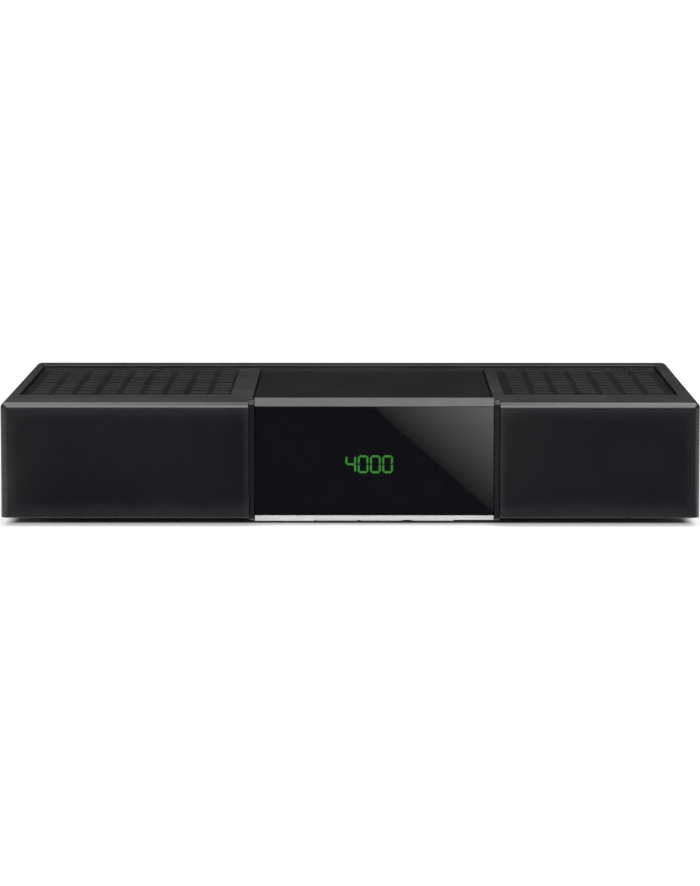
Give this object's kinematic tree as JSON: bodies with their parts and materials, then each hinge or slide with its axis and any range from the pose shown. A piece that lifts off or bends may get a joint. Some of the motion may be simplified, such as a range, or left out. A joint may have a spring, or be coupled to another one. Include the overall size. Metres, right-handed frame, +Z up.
{
  "type": "satellite television receiver",
  "caption": "Slim set-top satellite receiver: vented top, display window between two wings, push keys under the front edge, sockets and a power rocker behind.",
  "frame": {"origin": "on the ground plane under the feet, in the middle of the object's overall width and depth", "axes": "+X to the right seen from the front, +Y from the display window towards the sockets, +Z up"},
  "size_m": [0.22, 0.149, 0.0407],
  "materials": {
    "cover_plastic": "satin black moulding",
    "vent_plastic": "fine matt black",
    "tray_plastic": "matt black",
    "panel_paint": "semi-matt black paint",
    "foot_rubber": "matt",
    "screw_steel": "zinc plated",
    "frame_plastic": "satin black",
    "window_plastic": "gloss, smoked black",
    "top_trim_silver": "satin metallised silver",
    "bottom_trim_silver": "bright metallised silver",
    "key_silver": "bright metallised silver",
    "plunger_plastic": "moulded",
    "switch_steel": "plain",
    "board_green": "solder mask",
    "display_black": "gloss",
    "ribbon_white": "satin",
    "header_plastic": "moulded",
    "can_steel": "tinned",
    "connector_nickel": "nickel plated",
    "insulator_plastic": "moulded",
    "socket_plastic": "moulded",
    "socket_steel": "nickel plated",
    "audio_orange": "moulded",
    "switch_plastic": "satin",
    "wire_red": "satin sleeve",
    "chip_black": "moulded",
    "sink_aluminium": "plain",
    "capacitor_sleeve": "sleeve",
    "inductor_ferrite": "matt"
  },
  "bodies": {
    "case": {"top_cover": "cover_plastic", "vent_panel": "vent_plastic", "bottom_tray": "tray_plastic", "rear_panel": "panel_paint", "foot_front_left": "foot_rubber", "foot_front_right": "foot_rubber", "foot_rear_left": "foot_rubber", "foot_rear_right": "foot_rubber", "case_screw_front_left": "screw_steel", "case_screw_front_right": "screw_steel", "case_screw_rear_left": "screw_steel", "case_screw_rear_right": "screw_steel", "rear_screw_left": "screw_steel", "rear_screw_right": "screw_steel", "display_frame": "frame_plastic", "display_window": "window_plastic", "top_trim": "top_trim_silver", "bottom_trim": "bottom_trim_silver", "channel_down_switch": "switch_steel", "channel_up_switch": "switch_steel", "standby_switch": "switch_steel", "display_board": "board_green", "display_screw_left": "screw_steel", "display_screw_right": "screw_steel", "led_display": "display_black", "infrared_receiver": "display_black", "ribbon_cable": "ribbon_white", "main_board": "board_green", "main_board_header": "header_plastic", "board_screw_front_left": "screw_steel", "board_screw_front_right": "screw_steel", "board_screw_rear_left": "screw_steel", "board_screw_rear_right": "screw_steel", "tuner_can": "can_steel", "aerial_connector": "connector_nickel", "aerial_insulator": "insulator_plastic", "aerial_nut": "connector_nickel", "scart_socket": "socket_plastic", "hdmi_socket": "socket_steel", "usb_socket": "socket_steel", "audio_socket": "connector_nickel", "audio_core": "audio_orange", "power_jack": "socket_plastic", "power_switch_body": "switch_plastic", "switch_wires": "wire_red", "processor": "chip_black", "heat_sink": "sink_aluminium", "memory_chip": "chip_black", "capacitor_large": "capacitor_sleeve", "capacitor_medium": "capacitor_sleeve", "capacitor_small": "capacitor_sleeve", "inductor": "inductor_ferrite"},
    "channel_down": {"channel_down_key": "key_silver", "channel_down_plunger": "plunger_plastic"},
    "channel_up": {"channel_up_key": "key_silver", "channel_up_plunger": "plunger_plastic"},
    "standby": {"standby_key": "key_silver", "standby_plunger": "plunger_plastic"},
    "power_rocker": {"power_rocker": "switch_plastic"}
  },
  "joints": [
    {"name": "channel_down_press", "type": "slide", "parent": "case", "child": "channel_down", "axis": [0, 0, 1], "range_m": [0, 0.0005], "stiffness_N_per_m": 1500},
    {"name": "channel_up_press", "type": "slide", "parent": "case", "child": "channel_up", "axis": [0, 0, 1], "range_m": [0, 0.0005], "stiffness_N_per_m": 1500},
    {"name": "standby_press", "type": "slide", "parent": "case", "child": "standby", "axis": [0, 0, 1], "range_m": [0, 0.0005], "stiffness_N_per_m": 1500},
    {"name": "power_rocker_tip", "type": "hinge", "parent": "case", "child": "power_rocker", "pos_m": [0.09, 0.063, 0.0215], "axis": [-1, 0, 0], "range_deg": [0, 20]}
  ]
}
